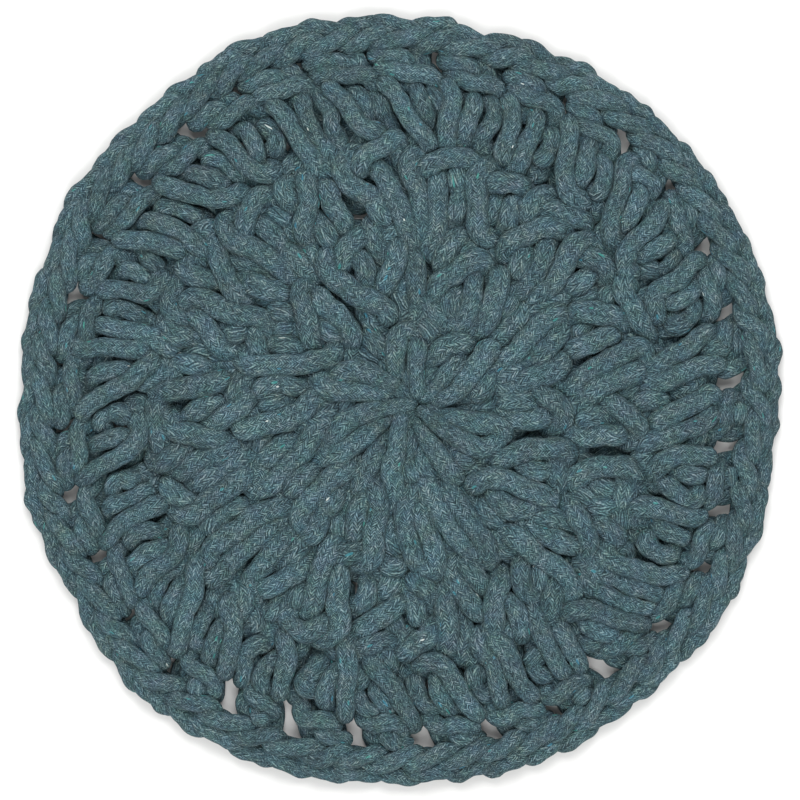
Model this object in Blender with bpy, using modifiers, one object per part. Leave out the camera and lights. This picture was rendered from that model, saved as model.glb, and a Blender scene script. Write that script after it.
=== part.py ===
"""Round crocheted trivet, lying flat.

One cotton cord is worked round and round into a thick flat mat: four rounds of tall
stitches, then an edge round of single crochet and chain that leaves a ring of slits.
The mat is one piece, so it is one solid. Its crests and grooves are the rounds, its
scalloped rim is the 64 links of the edge, and its underside is flat where it lies.
Metres, +Z up, origin under the middle of the mat.
"""
import math
import random
from collections import namedtuple

import bmesh
import bpy
from mathutils import Matrix, Vector

NAME = "trivet"
SEED = 11

# Driving sizes
RIM_RADIUS = 0.1018       # mean reach of the edge, before its swells
EDGE_LINKS = 64           # chain links that show around the rim
COLUMNS_PER_LINK = 3      # mesh columns across each link
COLUMNS = EDGE_LINKS * COLUMNS_PER_LINK
SCALLOP_DEPTH = 0.0011    # how far the rim draws in between two links
SCALLOP_FADE = 12         # power of the radius by which the scallops fade inwards
SWELL_FADE = 2            # the same for the wide swells of the rim
LINK_JITTER = 0.13        # unevenness of the links, in link widths
OFF_CENTRE = Vector((0.0048, -0.0015, 0.0))   # where the work was begun
RIPPLE = 0.0004           # rise and fall of a crest, stitch by stitch
RIM_WAVE = 0.0003         # rise and fall of the edge ridge
RIM_WAVES = 16
SAME = 0.00001            # two radii this near are one

# The rounds, from the middle out. Each swells to a crest and sinks to a groove.
Round = namedtuple("Round", "crest_radius crest_height groove_radius groove_height stitches")
ROUNDS = (
    Round(0.0150, 0.0113, 0.0285, 0.0101, 8),
    Round(0.0385, 0.0115, 0.0485, 0.0102, 16),
    Round(0.0580, 0.0116, 0.0675, 0.0102, 24),
    Round(0.0750, 0.0114, 0.0818, 0.0094, 32),
)
MIDDLE_HEIGHT = 0.0098    # dip where the first stitches meet

# The edge round: a bar of cord, the ring of slits, then the ridge of chain links
EdgeStep = namedtuple("EdgeStep", "radius height")
EDGE_STEPS = (
    EdgeStep(0.0848, 0.0102),   # bar at the foot of the edge stitches
    EdgeStep(0.0898, 0.0088),   # slits
    EdgeStep(0.0950, 0.0100),   # inner legs of the links
    EdgeStep(0.0992, 0.0093),   # outer legs of the links
    EdgeStep(0.1011, 0.0071),
    EdgeStep(RIM_RADIUS, 0.0046),
    EdgeStep(0.1009, 0.0017),
    EdgeStep(0.0989, 0.0),      # the mat meets the table
    EdgeStep(0.0800, 0.0),
)

# Where the rim swells out or is drawn in, clockwise from the far side (+Y)
Swell = namedtuple("Swell", "angle out")
SWELLS = (
    Swell(0, 0.0010), Swell(20, 0.0003), Swell(34, 0.0004), Swell(45, 0.0017),
    Swell(62, 0.0010), Swell(84, 0.0008), Swell(101, -0.0008), Swell(110, 0.0018),
    Swell(126, 0.0026), Swell(138, 0.0012), Swell(156, 0.0022), Swell(178, 0.0002),
    Swell(203, 0.0020), Swell(222, 0.0034), Swell(240, -0.0002), Swell(254, 0.0008),
    Swell(270, -0.0010), Swell(290, 0.0000), Swell(303, 0.0020), Swell(315, 0.0006),
    Swell(337, 0.0026),
)

# The slits between the edge stitches
SLITS = 32
SLIT_RADIUS = 0.0896
SLIT_LENGTH = 0.0074
SLIT_WIDTH = 0.0014       # most are nearly closed
SLIT_LEAN = math.radians(26)   # each leans back as it goes out
SLIT_SIDES = 8
SLIT_SHIFT = 0.5          # in links, from the valley to the middle of a link
# Slits that stand open, counted clockwise from the far side
OpenSlit = namedtuple("OpenSlit", "index width")
OPEN_SLITS = (
    OpenSlit(7, 0.0024), OpenSlit(8, 0.0026), OpenSlit(12, 0.0030), OpenSlit(14, 0.0020),
    OpenSlit(15, 0.0024), OpenSlit(16, 0.0020), OpenSlit(17, 0.0026), OpenSlit(18, 0.0026),
)

COTTON_BLUE = (0.067, 0.112, 0.122, 1.0)


def clear_scene():
    """Remove every object, so that the file holds only the trivet."""
    for old in list(bpy.data.objects):
        bpy.data.objects.remove(old, do_unlink=True)


def new_collection(name):
    """A collection linked to the scene."""
    made = bpy.data.collections.new(name)
    bpy.context.scene.collection.children.link(made)
    return made


def cotton_cord():
    """Soft matt cotton, teal grey."""
    material = bpy.data.materials.new("cotton_cord")
    material.use_nodes = True
    shader = material.node_tree.nodes["Principled BSDF"]
    shader.inputs["Base Color"].default_value = COTTON_BLUE
    shader.inputs["Roughness"].default_value = 0.9
    shader.inputs["Metallic"].default_value = 0.0
    return material


def link_angles():
    """Angle of the valley before each edge link, clockwise from +Y, evened to a full turn."""
    rng = random.Random(SEED)
    pitch = 2 * math.pi / EDGE_LINKS
    valleys = [pitch * (i + rng.uniform(-LINK_JITTER, LINK_JITTER)) for i in range(EDGE_LINKS)]
    return valleys + [valleys[0] + 2 * math.pi]


def angle_at(links, valleys):
    """Angle at a place counted in links, so that 2.5 is the middle of the third link."""
    whole, part = divmod(links, 1)
    turns, index = divmod(int(whole), EDGE_LINKS)
    start, end = valleys[index], valleys[index + 1]
    return 2 * math.pi * turns + start + (end - start) * part


def swell_at(angle):
    """How far the rim reaches past its mean radius, eased between the named places."""
    degrees = math.degrees(angle) % 360
    last = SWELLS[-1]
    places = [Swell(last.angle - 360, last.out), *SWELLS, Swell(SWELLS[0].angle + 360, SWELLS[0].out)]
    for before, after in zip(places, places[1:]):
        if before.angle <= degrees <= after.angle:
            share = (degrees - before.angle) / (after.angle - before.angle)
            ease = (1 - math.cos(math.pi * share)) / 2
            return before.out + (after.out - before.out) * ease
    raise ValueError("the swells leave a gap")


def place(radius, links, valleys):
    """Plan position of a point of the mat, from its radius in the even mat and its link."""
    angle = angle_at(links, valleys)
    share = radius / RIM_RADIUS
    scallop = SCALLOP_DEPTH * (1 - abs(math.sin(math.pi * (links % 1)))) * share ** SCALLOP_FADE
    reach = radius + swell_at(angle) * share ** SWELL_FADE - scallop
    way = Vector((math.sin(angle), math.cos(angle), 0.0))
    return way * reach + OFF_CENTRE * (1 - share)


def ripple_at(radius, links):
    """Rise of the top surface over its plain profile, stitch by stitch."""
    turn = 2 * math.pi * links / EDGE_LINKS
    for row in ROUNDS:
        if math.isclose(radius, row.crest_radius, abs_tol=SAME):
            return RIPPLE * math.cos(row.stitches * turn)
    if radius > EDGE_STEPS[1].radius:
        return RIM_WAVE * math.cos(RIM_WAVES * turn)
    return 0.0


def profile_points():
    """The mat's half section, from the middle of the top, down the rim, to the middle below."""
    points = [(0.0, MIDDLE_HEIGHT)]
    for row in ROUNDS:
        points.append((row.crest_radius, row.crest_height))
        points.append((row.groove_radius, row.groove_height))
    points.extend((step.radius, step.height) for step in EDGE_STEPS)
    points.append((0.0, 0.0))
    return points


def turned_mat():
    """The even mat: the half section turned about Z by a Screw modifier, as a mesh."""
    points = profile_points()
    section = bpy.data.meshes.new("half_section")
    edges = [(i, i + 1) for i in range(len(points) - 1)]
    section.from_pydata([(r, 0.0, z) for r, z in points], edges, [])
    guide = bpy.data.objects.new("half_section", section)
    bpy.context.scene.collection.objects.link(guide)
    turn = guide.modifiers.new("turn", "SCREW")
    turn.axis = "Z"
    turn.steps = COLUMNS
    turn.render_steps = COLUMNS
    turn.use_merge_vertices = True
    turn.merge_threshold = SAME
    evaluated = guide.evaluated_get(bpy.context.evaluated_depsgraph_get())
    mesh = bpy.data.meshes.new_from_object(evaluated)
    bpy.data.objects.remove(guide, do_unlink=True)
    bpy.data.meshes.remove(section)
    return mesh


def make_uneven(mesh, valleys):
    """Give the turned mat its swells, scallops, ripples and off-centre middle."""
    for vertex in mesh.vertices:
        x, y, z = vertex.co
        radius = math.hypot(x, y)
        turn = math.atan2(x, y) % (2 * math.pi)
        links = round(turn / (2 * math.pi) * COLUMNS) / COLUMNS_PER_LINK
        if z > 0:
            z += ripple_at(radius, links)
        spot = place(radius, links, valleys)
        vertex.co = (spot.x, spot.y, z)


def middle_of(mesh):
    """Middle of the mat's plan box."""
    xs = [v.co.x for v in mesh.vertices]
    ys = [v.co.y for v in mesh.vertices]
    return Vector(((min(xs) + max(xs)) / 2, (min(ys) + max(ys)) / 2, 0.0))


def slit_cutter(valleys, shift, collection):
    """One object that holds a flattened eight-sided prism for each slit."""
    widths = {slit.index: slit.width for slit in OPEN_SLITS}
    tallest = max(row.crest_height for row in ROUNDS) + RIPPLE
    links_per_slit = EDGE_LINKS / SLITS
    cutters = bmesh.new()
    for index in range(SLITS):
        links = index * links_per_slit + SLIT_SHIFT
        angle = angle_at(links, valleys)
        spot = place(SLIT_RADIUS, links, valleys) - shift
        width = widths.get(index, SLIT_WIDTH)
        shape = Matrix.Diagonal((width / 2, SLIT_LENGTH / 2, tallest * 2, 1.0))
        turned = Matrix.Rotation(SLIT_LEAN - angle, 4, "Z")
        placed = Matrix.Translation((spot.x, spot.y, tallest / 2))
        bmesh.ops.create_cone(
            cutters,
            cap_ends=True,
            segments=SLIT_SIDES,
            radius1=1.0,
            radius2=1.0,
            depth=1.0,
            matrix=placed @ turned @ shape,
        )
    mesh = bpy.data.meshes.new("slits")
    cutters.to_mesh(mesh)
    cutters.free()
    cutter = bpy.data.objects.new("slits", mesh)
    cutter.hide_render = True
    cutter.display_type = "WIRE"
    collection.objects.link(cutter)
    return cutter


def build_trivet(parts, cutters):
    """The whole mat, cut through at its slits."""
    valleys = link_angles()
    mesh = turned_mat()
    make_uneven(mesh, valleys)
    shift = middle_of(mesh)
    mesh.transform(Matrix.Translation(-shift))
    mesh.name = NAME
    trivet = bpy.data.objects.new(NAME, mesh)
    parts.objects.link(trivet)
    trivet.data.materials.clear()
    trivet.data.materials.append(cotton_cord())
    mesh.shade_smooth()
    mesh.set_sharp_from_angle(angle=math.radians(60))
    opened = trivet.modifiers.new("slits", "BOOLEAN")
    opened.operation = "DIFFERENCE"
    opened.solver = "EXACT"
    opened.object = slit_cutter(valleys, shift, cutters)
    return trivet


clear_scene()
build_trivet(new_collection("knotted_trivet"), new_collection("cutters"))
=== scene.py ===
"""A round trivet, crocheted from one thick, soft, heathered cotton cord, lying flat.

The whole mat is one cord, worked from the middle outwards: four rounds of tall stitches,
then an edge of short stitches with a chain stitch between them, which leaves a ring of
slits. The script lays the cord along the path that a crochet hook gives it, lets it settle
against itself, skins it round by round and dresses it as a knitted cotton tube.

Stitches are laid out in millimetres. Blender's objects are in metres, +Z up.
"""

import logging
import math
from dataclasses import dataclass, field
from enum import Enum
from functools import partial
from typing import Callable, NamedTuple

import bpy
import numpy as np
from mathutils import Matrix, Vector

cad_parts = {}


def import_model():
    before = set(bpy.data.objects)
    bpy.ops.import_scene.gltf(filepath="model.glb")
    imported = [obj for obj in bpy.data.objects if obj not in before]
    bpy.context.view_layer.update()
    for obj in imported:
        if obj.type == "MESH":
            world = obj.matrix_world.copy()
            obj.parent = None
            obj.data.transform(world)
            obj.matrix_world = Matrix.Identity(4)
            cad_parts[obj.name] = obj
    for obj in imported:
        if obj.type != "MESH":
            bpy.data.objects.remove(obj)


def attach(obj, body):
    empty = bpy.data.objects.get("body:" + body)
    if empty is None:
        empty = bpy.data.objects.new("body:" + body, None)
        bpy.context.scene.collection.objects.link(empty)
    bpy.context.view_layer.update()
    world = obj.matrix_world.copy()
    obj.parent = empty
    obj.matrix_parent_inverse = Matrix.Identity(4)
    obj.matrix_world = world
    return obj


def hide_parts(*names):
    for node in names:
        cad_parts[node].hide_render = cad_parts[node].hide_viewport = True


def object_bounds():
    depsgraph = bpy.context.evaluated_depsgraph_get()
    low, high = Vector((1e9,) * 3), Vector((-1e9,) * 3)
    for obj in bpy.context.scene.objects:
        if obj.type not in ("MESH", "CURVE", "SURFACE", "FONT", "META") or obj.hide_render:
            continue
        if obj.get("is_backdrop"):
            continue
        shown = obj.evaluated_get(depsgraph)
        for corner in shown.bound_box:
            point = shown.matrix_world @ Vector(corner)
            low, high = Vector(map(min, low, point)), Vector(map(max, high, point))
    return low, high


LOG = logging.getLogger("trivet")
MM = 0.001
FULL_TURN = 360.0
SEED = 5
NODE = "trivet"
BODY = "root"
CORD_MAP = "cord_map"

Array = np.ndarray
AddNode = Callable[..., bpy.types.Node]
Source = bpy.types.Node | bpy.types.NodeSocket
Value = Source | float | tuple[float, ...]


# ---------------------------------------------------------------- helpers


def linear(hex_colour: str) -> tuple[float, float, float, float]:
    """Turn an sRGB hex colour into linear RGBA.

    Args:
        hex_colour: Six hex digits, with or without a leading hash.

    Returns:
        Linear red, green, blue and an alpha of one.
    """
    digits = hex_colour.lstrip("#")
    shares = [int(digits[i:i + 2], 16) / 255 for i in (0, 2, 4)]
    red, green, blue = (
        share / 12.92 if share <= 0.04045 else ((share + 0.055) / 1.055) ** 2.4 for share in shares
    )
    return red, green, blue, 1.0


def ease(share: Array | float) -> Array | float:
    """Smooth step of a share, held between 0 and 1."""
    held = np.clip(share, 0.0, 1.0)
    return held * held * (3 - 2 * held)


def add_node(
    tree: bpy.types.NodeTree, kind: str, *values: Value | dict[str | int, Value], **settings: str
) -> bpy.types.Node:
    """Add one node with its settings, values and links.

    Args:
        tree: Node tree that the node joins.
        kind: Blender's name for the node type, after "ShaderNode".
        *values: For each input in turn, the node or socket to link or the value to set, or
            one dict of them by the input's name or number.
        **settings: Attributes of the node.

    Returns:
        The new node.
    """
    node = tree.nodes.new("ShaderNode" + kind)
    for name, value in settings.items():
        setattr(node, name, value)
    by_input = values[0] if values and isinstance(values[0], dict) else dict(enumerate(values))
    for key, value in by_input.items():
        source = value.outputs[0] if isinstance(value, bpy.types.Node) else value
        if isinstance(source, bpy.types.NodeSocket):
            tree.links.new(source, node.inputs[key])
        else:
            node.inputs[key].default_value = source
    return node


# ---------------------------------------------------------------- the stitches


class Turn(NamedTuple):
    """One bend of the cord within a tall stitch."""

    along: float  # in stitches, the way that the work goes
    out: float  # share of the round, from its inner side to its outer side
    lift: float  # from -1 at the underside to 1 at the top


class EdgeTurn(NamedTuple):
    """One bend of the cord within a repeat of the edge."""

    along: float  # in repeats, the way that the work goes
    radius: float  # mm from the middle
    lift: float  # from -1 at the underside to 1 at the top


# A tall stitch: the cord is wrapped once, drawn up in a loop from the round below and
# closed over the wrap. Its two front legs lean together at their inner ends.
POST = tuple(Turn(*bend) for bend in (
    # the wrap, seen between two posts
    (-0.92, 0.88, -0.90), (-0.84, 0.92, -0.40), (-0.84, 0.88, 0.20), (-0.98, 0.78, 0.50),
    (-1.12, 0.62, 0.50), (-1.08, 0.44, 0.45), (-0.94, 0.36, 0.30), (-0.90, 0.22, -0.10),
    (-0.94, 0.06, -0.20), (-0.88, -0.04, -0.50),
    # the short leg
    (-0.74, -0.10, -0.50), (-0.70, -0.10, 0.00), (-0.66, 0.08, 0.25), (-0.64, 0.34, 0.65),
    (-0.64, 0.62, 0.90), (-0.60, 0.84, 0.60), (-0.48, 0.96, 0.00), (-0.32, 1.01, -0.30),
    (-0.22, 1.04, 0.00),
    # the long leg
    (-0.18, 1.00, 0.55), (-0.19, 0.90, 0.95), (-0.26, 0.76, 1.00), (-0.41, 0.53, 1.00),
    (-0.57, 0.30, 0.95), (-0.68, 0.12, 0.45), (-0.75, -0.05, -0.10), (-0.72, -0.06, -0.65),
    # back up behind the post
    (-0.58, 0.14, -0.95), (-0.40, 0.45, -1.00), (-0.18, 0.74, -0.85),
))


# The same stitch with its wrap pulled forward, so that it crosses over the long leg
CROSSED_POST = tuple(Turn(*bend) for bend in (
    # the wrap
    (-0.70, 0.92, -0.30), (-0.62, 0.94, 0.40), (-0.54, 0.84, 0.95), (-0.42, 0.68, 1.00),
    (-0.28, 0.52, 0.95), (-0.16, 0.38, 0.55), (-0.10, 0.26, -0.05), (-0.16, 0.14, -0.60),
    (-0.40, 0.08, -0.80), (-0.64, -0.02, -0.80),
    # the short leg
    (-0.78, -0.10, -0.50), (-0.76, -0.08, 0.00), (-0.72, 0.08, 0.35), (-0.72, 0.30, 0.80),
    (-0.74, 0.55, 0.95), (-0.72, 0.78, 0.70), (-0.62, 0.96, 0.00), (-0.40, 1.04, -0.30),
    (-0.20, 1.06, 0.00),
    # the long leg
    (-0.13, 1.00, 0.55), (-0.15, 0.88, 0.90), (-0.22, 0.74, 0.70), (-0.32, 0.58, 0.25),
    (-0.42, 0.42, 0.40), (-0.52, 0.26, 0.90), (-0.60, 0.10, 0.60), (-0.70, -0.05, -0.10),
    (-0.70, -0.06, -0.65),
    # back up behind the post
    (-0.56, 0.14, -0.95), (-0.40, 0.45, -1.00), (-0.18, 0.74, -0.85),
))


class Link(Enum):
    """How the chain link at the head of a tall stitch lies."""

    LEANING = tuple(Turn(*bend) for bend in (
        (-0.02, 0.94, -0.40), (0.04, 1.08, 0.20), (0.14, 1.10, 0.75), (0.36, 1.01, 0.95),
        (0.60, 0.92, 0.95), (0.80, 0.86, 0.50), (0.90, 0.90, -0.15), (0.84, 1.00, -0.65),
        (0.52, 1.04, -0.75), (0.22, 0.98, -0.80),
    ))
    BAR = tuple(Turn(*bend) for bend in (
        (-0.02, 0.88, -0.60), (0.11, 0.98, 0.00), (0.18, 1.04, 0.70), (0.32, 1.03, 0.95),
        (0.50, 1.01, 1.00), (0.68, 1.02, 0.90), (0.80, 1.07, 0.40), (0.83, 1.14, -0.20),
        (0.72, 1.11, -0.65), (0.50, 1.05, -0.70), (0.24, 0.94, -0.80),
    ))


# The link at the head of a short stitch of the edge; the chain stitch after it is the same
# link, half a repeat further on
EDGE_LINK = tuple(EdgeTurn(*bend) for bend in (
    (-0.17, 96.8, -0.40), (-0.13, 97.5, 0.20), (-0.06, 97.2, 0.85), (0.10, 96.3, 1.00),
    (0.28, 95.5, 1.00), (0.42, 94.9, 0.60), (0.51, 95.6, 0.00), (0.53, 97.0, -0.45),
    (0.52, 98.9, -0.20), (0.40, 99.8, 0.20), (0.15, 99.9, 0.40), (-0.06, 99.6, 0.30),
    (-0.20, 98.8, -0.20),
))


# One repeat of the edge: a short stitch worked behind the bar, its link, then a chain
EDGE_REPEAT = tuple(EdgeTurn(*bend) for bend in (
    # down behind the bar
    (-0.62, 92.0, -0.95), (-0.68, 87.8, -0.95), (-0.68, 84.8, -0.45), (-0.66, 85.4, 0.05),
    (-0.62, 88.4, 0.15), (-0.56, 91.2, 0.20), (-0.42, 94.0, -0.10), (-0.25, 95.2, -0.40),
    (-0.10, 95.2, -0.30),
    # the stem beside each slit
    (-0.12, 94.0, 0.30), (-0.26, 92.6, 0.85), (-0.42, 90.9, 0.85), (-0.56, 89.0, 0.60),
    (-0.64, 86.6, 0.10), (-0.62, 85.4, -0.40), (-0.54, 86.6, -0.85), (-0.40, 90.0, -1.00),
    (-0.28, 94.2, -0.90),
    # the link of the short stitch, and on to the chain
    *EDGE_LINK, (-0.18, 97.4, -0.70), (0.04, 96.2, -1.00), (0.20, 96.2, -0.95),
    *((round(along + 0.5, 2), radius, lift) for along, radius, lift in EDGE_LINK),
    (0.32, 97.0, -0.70),
))


@dataclass(frozen=True)
class Round:
    """A round of tall stitches."""

    name: str
    stitches: int
    inner: float  # mm from the middle
    outer: float  # mm from the middle
    link: Link
    sink: tuple[float, float]  # how far its links are pulled down, least and most
    uneven: float  # how unevenly it is worked, against the outermost round
    crossed: float  # share of its stitches in which the wrap crosses over

    @property
    def pitch(self) -> float:
        """Degrees that one stitch takes."""
        return FULL_TURN / self.stitches


class Swell(NamedTuple):
    """A place on the rim that swells out or is drawn in."""

    angle: float  # degrees clockwise from +Y
    out: float  # mm


class OpenSlit(NamedTuple):
    """A slit of the edge that stands open."""

    index: int  # clockwise from the first
    widening: float  # share by which the cord stands further off on both sides


@dataclass(frozen=True)
class MatForm:
    """The mat's outline, its thickness and where its middle lies, in mm."""

    rim: float = 101.8
    off_centre: tuple[float, float] = (5.8, -1.2)
    body_top: float = 9.9  # highest line of the cord over the tall stitches
    rim_top: float = 8.0  # the same over the edge
    rim_from: float = 83.0  # the thickness falls from here
    rim_to: float = 91.0  # to here
    swells: tuple[Swell, ...] = (
        Swell(0, 1.0), Swell(20, 0.3), Swell(34, 0.4), Swell(45, 1.7), Swell(62, 1.0), Swell(84, 0.8),
        Swell(101, -0.8), Swell(110, 1.8), Swell(126, 2.6), Swell(138, 1.2), Swell(156, 2.2),
        Swell(178, 0.2), Swell(203, 2.0), Swell(222, 3.4), Swell(240, -0.2), Swell(254, 0.8),
        Swell(270, -1.0), Swell(290, 0.0), Swell(303, 2.0), Swell(315, 0.6), Swell(337, 2.6),
    )

    def swell_at(self, degrees: Array) -> Array:
        """How far the rim swells out.

        Args:
            degrees: Angles clockwise from +Y.

        Returns:
            Millimetres, for each angle.
        """
        angles = np.array([s.angle for s in self.swells] + [self.swells[0].angle + FULL_TURN])
        outs = np.array([s.out for s in self.swells] + [self.swells[0].out])
        turned = np.asarray(degrees) % FULL_TURN
        at = np.clip(np.searchsorted(angles, turned, side="right") - 1, 0, len(angles) - 2)
        share = (turned - angles[at]) / (angles[at + 1] - angles[at])
        return outs[at] + (outs[at + 1] - outs[at]) * (1 - np.cos(np.pi * share)) / 2

    def top_at(self, radius: Array) -> Array:
        """Height of the highest line of the cord at a distance from the middle."""
        share = (radius - self.rim_from) / (self.rim_to - self.rim_from)
        return self.body_top + (self.rim_top - self.body_top) * ease(share)

    def place(self, radius: Array, degrees: Array, lift: Array, low: float) -> Array:
        """Turn places given by radius, angle and lift into points.

        Args:
            radius: Distances from the middle, in mm.
            degrees: Angles clockwise from +Y.
            lift: From -1 at the underside to 1 at the top.
            low: Height of the lowest line of the cord, in mm.

        Returns:
            One point a row, in mm.
        """
        share = radius / self.rim
        reach = radius + self.swell_at(degrees) * share ** 2
        angle = np.radians(degrees)
        x = reach * np.sin(angle) + self.off_centre[0] * (1 - share)
        y = reach * np.cos(angle) + self.off_centre[1] * (1 - share)
        z = low + (lift + 1) / 2 * (self.top_at(radius) - low)
        return np.stack([x, y, z], axis=-1)


@dataclass(frozen=True)
class Cord:
    """The knitted cotton tube that the mat is worked in, in mm."""

    width: float = 5.2
    loft: float = 1.05  # how much wider the soft surface is than the firm core
    flatness: float = 0.84  # height of its section over its width
    thin_start: float = 0.55  # share of its width where the first stitches are drawn tight
    thin_reach: float = 16.0  # mm from the middle where it has its full width
    loose: float = 1.11  # share of its width in the loosely worked inner rounds
    tight: float = 0.95  # and in the tightly worked last round and edge
    tight_from: float = 62.0  # mm from the middle
    tight_to: float = 82.0

    @property
    def radius(self) -> float:
        """Half the cord's width."""
        return self.width / 2

    def radius_at(self, from_middle: Array) -> Array:
        """How thick the cord is.

        Args:
            from_middle: Distances from the middle of the work, in mm.

        Returns:
            Half the cord's width at each, in mm.
        """
        share = self.thin_start + (1 - self.thin_start) * from_middle / self.thin_reach
        tightening = ease((from_middle - self.tight_from) / (self.tight_to - self.tight_from))
        worked = self.loose + (self.tight - self.loose) * tightening
        return self.radius * np.clip(share, self.thin_start, 1.0) * worked


class Run(NamedTuple):
    """The cord's line: its points, and for each the piece that it belongs to."""

    points: Array
    piece: Array


@dataclass
class Pattern:
    """The crochet pattern: lays the cord's line, stitch by stitch."""

    form: MatForm
    cord: Cord
    rounds: tuple[Round, ...] = (
        Round("round_1", 8, 3.2, 24.0, Link.LEANING, (0.6, 1.7), 2.2, 0.4),
        Round("round_2", 16, 23.0, 44.0, Link.LEANING, (0.2, 1.5), 1.5, 0.6),
        Round("round_3", 24, 43.0, 65.0, Link.LEANING, (0.0, 1.1), 1.4, 0.45),
        Round("round_4", 32, 64.5, 87.4, Link.BAR, (0.0, 0.15), 1.0, 0.0),
    )
    edge_name: str = "edge"
    edge_repeats: int = 32
    first_slit: float = 7.5  # degrees clockwise from +Y
    insert: float = 0.70  # where on the link below a stitch goes in, in stitches
    base: float = 0.72  # how far a stitch's foot lies from its head, in stitches
    splay: float = 0.30  # between two stitches in one link, in stitches
    calm_at: float = 258.0  # degrees: the side where few wraps cross over
    calm_span: float = 45.0  # degrees that it reaches to both sides
    open_slits: tuple[OpenSlit, ...] = (
        OpenSlit(3, 0.38), OpenSlit(4, 0.0), OpenSlit(5, 0.35), OpenSlit(6, 0.80),
        OpenSlit(7, 1.20), OpenSlit(8, 0.85), OpenSlit(9, 0.20), OpenSlit(10, 0.05),
        OpenSlit(11, 0.35), OpenSlit(12, 0.95), OpenSlit(13, 0.0), OpenSlit(14, 0.20),
        OpenSlit(15, 0.42), OpenSlit(16, 0.20), OpenSlit(17, 0.80), OpenSlit(18, 0.60),
        OpenSlit(19, -0.15), OpenSlit(21, -0.15), OpenSlit(22, -0.10), OpenSlit(25, 0.35),
        OpenSlit(27, -0.20), OpenSlit(28, 0.05),
    )
    closing: float = 0.35  # share by which the cord closes in on the other slits
    slit_from: float = 82.0  # mm from the middle: the cord gives way to the slits from here
    slit_to: float = 95.8  # to here
    slit_middle: float = 89.5  # mm from the middle
    slit_slant: float = 0.026  # stitches that a slit shifts for each mm further out
    slit_span: float = 0.35  # stitches to each side in which the cord gives way
    slit_inward: float = 5.0  # mm that an open slit reaches further in
    slit_outward: float = 1.2  # and further out
    ring_bends: int = 11  # bends of the ring that closes the middle
    ring_step: float = 40.0  # degrees from one to the next
    ring_ahead: float = 60.0  # degrees by which the ring starts before the first round
    ring_start: float = 0.4  # mm from the middle where it starts
    ring_growth: float = 2.9  # mm that it opens by
    ring_opening: int = 3  # bends in which it does
    ring_lift: float = -0.98  # it lies at the underside
    edge_shift: float = 0.02  # how far a repeat of the edge strays along it, in repeats
    edge_stray: float = 0.1  # mm that each of its bends strays
    heave: float = 0.12  # how far a tall stitch lies higher or lower
    stretches: int = 5  # stretches of its cord that each do so by themselves as well
    stretch_bends: int = 10  # bends of each stretch
    slide: float = 0.05  # stitches that it slides along the round
    tilt: float = 0.07  # stitches that its head and foot move apart
    growth: float = 0.03  # share by which it is taller or shorter
    stray_out: float = 0.4  # mm that each of its bends strays away from the middle
    stray_along: float = 0.35  # and along the round
    stray_least: float = 8.0  # mm from the middle within which it strays no further
    calm_share: float = 0.3  # share of the crossed wraps that are left on the calm side
    link_from: float = 0.03  # stitches along, from where a bend belongs to the link
    link_top: float = 0.95  # lift from where a link is pulled down in full
    foot_to: float = 0.9  # share of the round in which a stitch turns from foot to head
    nearest: float = 1.5  # mm from the middle: no bend lies nearer

    def links_below(self, at: int) -> Array:
        """Where each stitch of a round is worked in.

        Args:
            at: Number of the round, from the middle out, above 0.

        Returns:
            For each stitch, its place in stitches of the round below.
        """
        count, below = self.rounds[at].stitches, self.rounds[at - 1].stitches
        into = [i * below // count for i in range(count)]
        places = []
        for i, link in enumerate(into):
            sharing = [q for q in range(count) if into[q] == link]
            shift = 0.0 if len(sharing) == 1 else (sharing.index(i) - 0.5) * self.splay
            places.append(link - self.insert + shift)
        return np.array(places)

    def starts(self) -> list[float]:
        """Turn the rounds, from the slits inwards, so that feet lie under heads.

        Returns:
            For each round, the angle where it begins, in degrees clockwise from +Y.
        """
        found = [0.0] * len(self.rounds)
        found[-1] = self.first_slit
        for at in range(len(self.rounds) - 1, 0, -1):
            above, below = self.rounds[at], self.rounds[at - 1]
            feet = (np.arange(above.stitches) - self.base) * above.pitch
            found[at - 1] = found[at] - feet.mean() + (self.links_below(at) * below.pitch).mean()
        return found

    def by_slit(self, stitch: int, along: float, radius: float) -> tuple[float, float]:
        """Move a place beside a slit: away from one that stands open, nearer to any other.

        Args:
            stitch: Number of the stitch, the way that the work goes.
            along: The place, in stitches from where the stitch starts.
            radius: Its distance from the middle, in mm.

        Returns:
            The place, in stitches, and its distance from the middle.
        """
        line = self.slit_slant * (radius - self.slit_middle)
        nearest = round(along - line)
        apart = along - line - nearest
        if abs(apart) > self.slit_span or not self.slit_from < radius < self.slit_to:
            return along, radius
        opened = {slit.index: slit.widening for slit in self.open_slits}
        widening = opened.get(-(stitch + nearest) % self.edge_repeats, -self.closing)
        near = (1 - abs(apart) / self.slit_span) * max(widening, 0.0)
        further = -self.slit_inward * near if radius < self.slit_middle else self.slit_outward * near
        return nearest + line + apart * (1 + widening), radius + further

    def lay(self, rng: np.random.Generator) -> Run:
        """Lay the whole cord from its start in the middle to its end on the edge.

        Args:
            rng: Source of the work's unevenness.

        Returns:
            The cord's line, bend by bend.
        """
        rows, piece = [], []
        starts = self.starts()
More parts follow.
